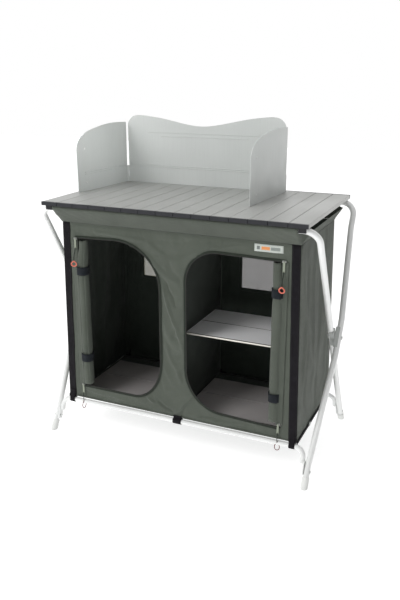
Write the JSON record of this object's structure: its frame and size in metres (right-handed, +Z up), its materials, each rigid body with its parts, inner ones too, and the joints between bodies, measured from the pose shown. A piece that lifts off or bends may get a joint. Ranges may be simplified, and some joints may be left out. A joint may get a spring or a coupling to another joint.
{
  "type": "folding camp kitchen table",
  "caption": "Folding camp kitchen: crossing tube frames carry a slatted top, a two-door fabric cupboard with a shelf and a three-leaf windscreen.",
  "frame": {"origin": "on the ground, under the middle of the table", "axes": "+Z up, +X to the right seen from the door side, -Y towards the person who opens the doors"},
  "size_m": [0.9762, 0.5146, 1.053],
  "materials": {
    "tube": "satin powder coat",
    "bracket": "zinc-plated sheet",
    "rivet": "satin",
    "foot": "matte moulded",
    "slat": "anodised, fine lengthwise grain",
    "slat_cap": "matte moulded",
    "hook": "matte moulded",
    "cloth": "plain-weave coated polyester",
    "mesh": "open knitted mesh",
    "webbing": "woven polypropylene",
    "zip": "coil zip on tape",
    "label": "woven patch",
    "slider": "die-cast",
    "board": "laminated board",
    "screen": "satin sheet",
    "pull_cord": "braided loop",
    "piping": "bound edge"
  },
  "bodies": {
    "hub": {"pivot_rivet_left": "rivet", "pivot_rivet_right": "rivet"},
    "cupboard": {"fabric_left": "cloth", "fabric_right": "cloth", "fabric_floor": "cloth", "fabric_partition": "cloth", "fascia_front": "cloth", "fascia_rear": "cloth", "fabric_flap_left": "cloth", "fabric_flap_right": "cloth", "floor_board_pins": "rivet", "shelf_board_pin": "rivet"},
    "front_panel": {"fabric_front": "cloth", "door_roll_left": "cloth", "door_roll_right": "cloth", "roll_straps": "webbing", "zip_left": "zip", "zip_right": "zip", "label": "label", "webbing_front": "webbing"},
    "rear_panel": {"fabric_back": "cloth", "window_mesh": "mesh", "webbing_rear": "webbing"},
    "frame_a": {"top_rail_front": "tube", "frame_a_leg_left": "tube", "frame_a_foot_left": "foot", "frame_a_bracket_left": "bracket", "frame_a_leg_right": "tube", "frame_a_foot_right": "foot", "frame_a_bracket_right": "bracket", "frame_a_rail_rivets": "rivet", "bottom_rail_rear": "tube"},
    "frame_b": {"top_rail_rear": "tube", "frame_b_leg_left": "tube", "frame_b_foot_left": "foot", "frame_b_bracket_left": "bracket", "frame_b_leg_right": "tube", "frame_b_foot_right": "foot", "frame_b_bracket_right": "bracket", "frame_b_rail_rivets": "rivet", "bottom_rail_front": "tube"},
    "floor_front": {"floor_board_front": "board"},
    "floor_rear": {"floor_board_rear": "board"},
    "shelf_front": {"shelf_board_front": "board"},
    "shelf_rear": {"shelf_board_rear": "board"},
    "table_top": {"slats": "slat", "slat_caps_front": "slat_cap", "slat_caps_rear": "slat_cap", "table_hooks": "hook"},
    "windscreen": {"screen_back": "screen", "screen_pin_left": "rivet", "screen_pin_right": "rivet"},
    "wing_left": {"screen_wing_left": "screen"},
    "wing_right": {"screen_wing_right": "screen"},
    "slider_top_left": {"zip_slider_top_left": "slider"},
    "slider_low_left": {"zip_slider_low_left": "slider"},
    "slider_top_right": {"zip_slider_top_right": "slider"},
    "slider_low_right": {"zip_slider_low_right": "slider"}
  },
  "joints": [
    {"name": "frame_fold", "type": "hinge", "parent": "hub", "child": "frame_a", "pos_m": [0, 0, 0.405], "axis": [1, 0, 0], "range_deg": [-28.5, 0], "deforming": ["fabric_left", "fabric_right", "fabric_floor", "fabric_partition", "fascia_front", "fascia_rear", "fabric_flap_left", "fabric_flap_right", "webbing_front", "webbing_rear"]},
    {"name": "frame_b_fold", "type": "hinge", "parent": "hub", "child": "frame_b", "pos_m": [0, 0, 0.405], "axis": [1, 0, 0], "range_deg": [0, 28.5]},
    {"name": "cupboard_follow", "type": "slide", "parent": "hub", "child": "cupboard", "axis": [0, 0, 1], "range_m": [0, 0.056]},
    {"name": "front_panel_follow", "type": "slide", "parent": "cupboard", "child": "front_panel", "axis": [0, 1, 0], "range_m": [0, 0.152]},
    {"name": "rear_panel_follow", "type": "slide", "parent": "cupboard", "child": "rear_panel", "axis": [0, -1, 0], "range_m": [0, 0.152]},
    {"name": "floor_front_fold", "type": "hinge", "parent": "cupboard", "child": "floor_front", "pos_m": [0, 0, 0.1275], "axis": [1, 0, 0], "range_deg": [-89.5, 0]},
    {"name": "floor_rear_fold", "type": "hinge", "parent": "cupboard", "child": "floor_rear", "pos_m": [0, 0, 0.1275], "axis": [1, 0, 0], "range_deg": [0, 89.5]},
    {"name": "shelf_front_fold", "type": "hinge", "parent": "cupboard", "child": "shelf_front", "pos_m": [0.195, 0, 0.3945], "axis": [1, 0, 0], "range_deg": [-89.5, 0]},
    {"name": "shelf_rear_fold", "type": "hinge", "parent": "cupboard", "child": "shelf_rear", "pos_m": [0.195, 0, 0.3945], "axis": [1, 0, 0], "range_deg": [0, 89.5]},
    {"name": "top_lift", "type": "slide", "parent": "hub", "child": "table_top", "axis": [0, 0, 1], "range_m": [0, 0.3]},
    {"name": "windscreen_lift", "type": "slide", "parent": "table_top", "child": "windscreen", "axis": [0, 0, 1], "range_m": [0, 0.3]},
    {"name": "left_wing_turn", "type": "hinge", "parent": "windscreen", "child": "wing_left", "pos_m": [-0.3865, 0.2225, 0.84], "axis": [0, 0, 1], "range_deg": [-85, 85]},
    {"name": "right_wing_turn", "type": "hinge", "parent": "windscreen", "child": "wing_right", "pos_m": [0.2155, 0.2225, 0.84], "axis": [0, 0, 1], "range_deg": [-85, 85]},
    {"name": "zip_top_left_run", "type": "slide", "parent": "front_panel", "child": "slider_top_left", "axis": [1, 0, 0], "range_m": [0, 0.18]},
    {"name": "zip_low_left_run", "type": "slide", "parent": "front_panel", "child": "slider_low_left", "axis": [1, 0, 0], "range_m": [0, 0.18]},
    {"name": "zip_top_right_run", "type": "slide", "parent": "front_panel", "child": "slider_top_right", "axis": [-1, 0, 0], "range_m": [0, 0.18]},
    {"name": "zip_low_right_run", "type": "slide", "parent": "front_panel", "child": "slider_low_right", "axis": [-1, 0, 0], "range_m": [0, 0.18]}
  ],
  "couplings": [
    {"joint": "frame_b_fold", "follows": "frame_fold", "ratio": -1},
    {"joint": "cupboard_follow", "follows": "frame_fold", "m_per_rad": -0.1106},
    {"joint": "front_panel_follow", "follows": "frame_fold", "m_per_rad": -0.3016},
    {"joint": "rear_panel_follow", "follows": "frame_fold", "m_per_rad": -0.3016},
    {"joint": "floor_front_fold", "follows": "frame_fold", "ratio": 3.14},
    {"joint": "floor_rear_fold", "follows": "frame_fold", "ratio": -3.14},
    {"joint": "shelf_front_fold", "follows": "frame_fold", "ratio": 3.14},
    {"joint": "shelf_rear_fold", "follows": "frame_fold", "ratio": -3.14},
    {"joint": "top_lift", "follows": "frame_fold", "m_per_rad": -0.6}
  ]
}
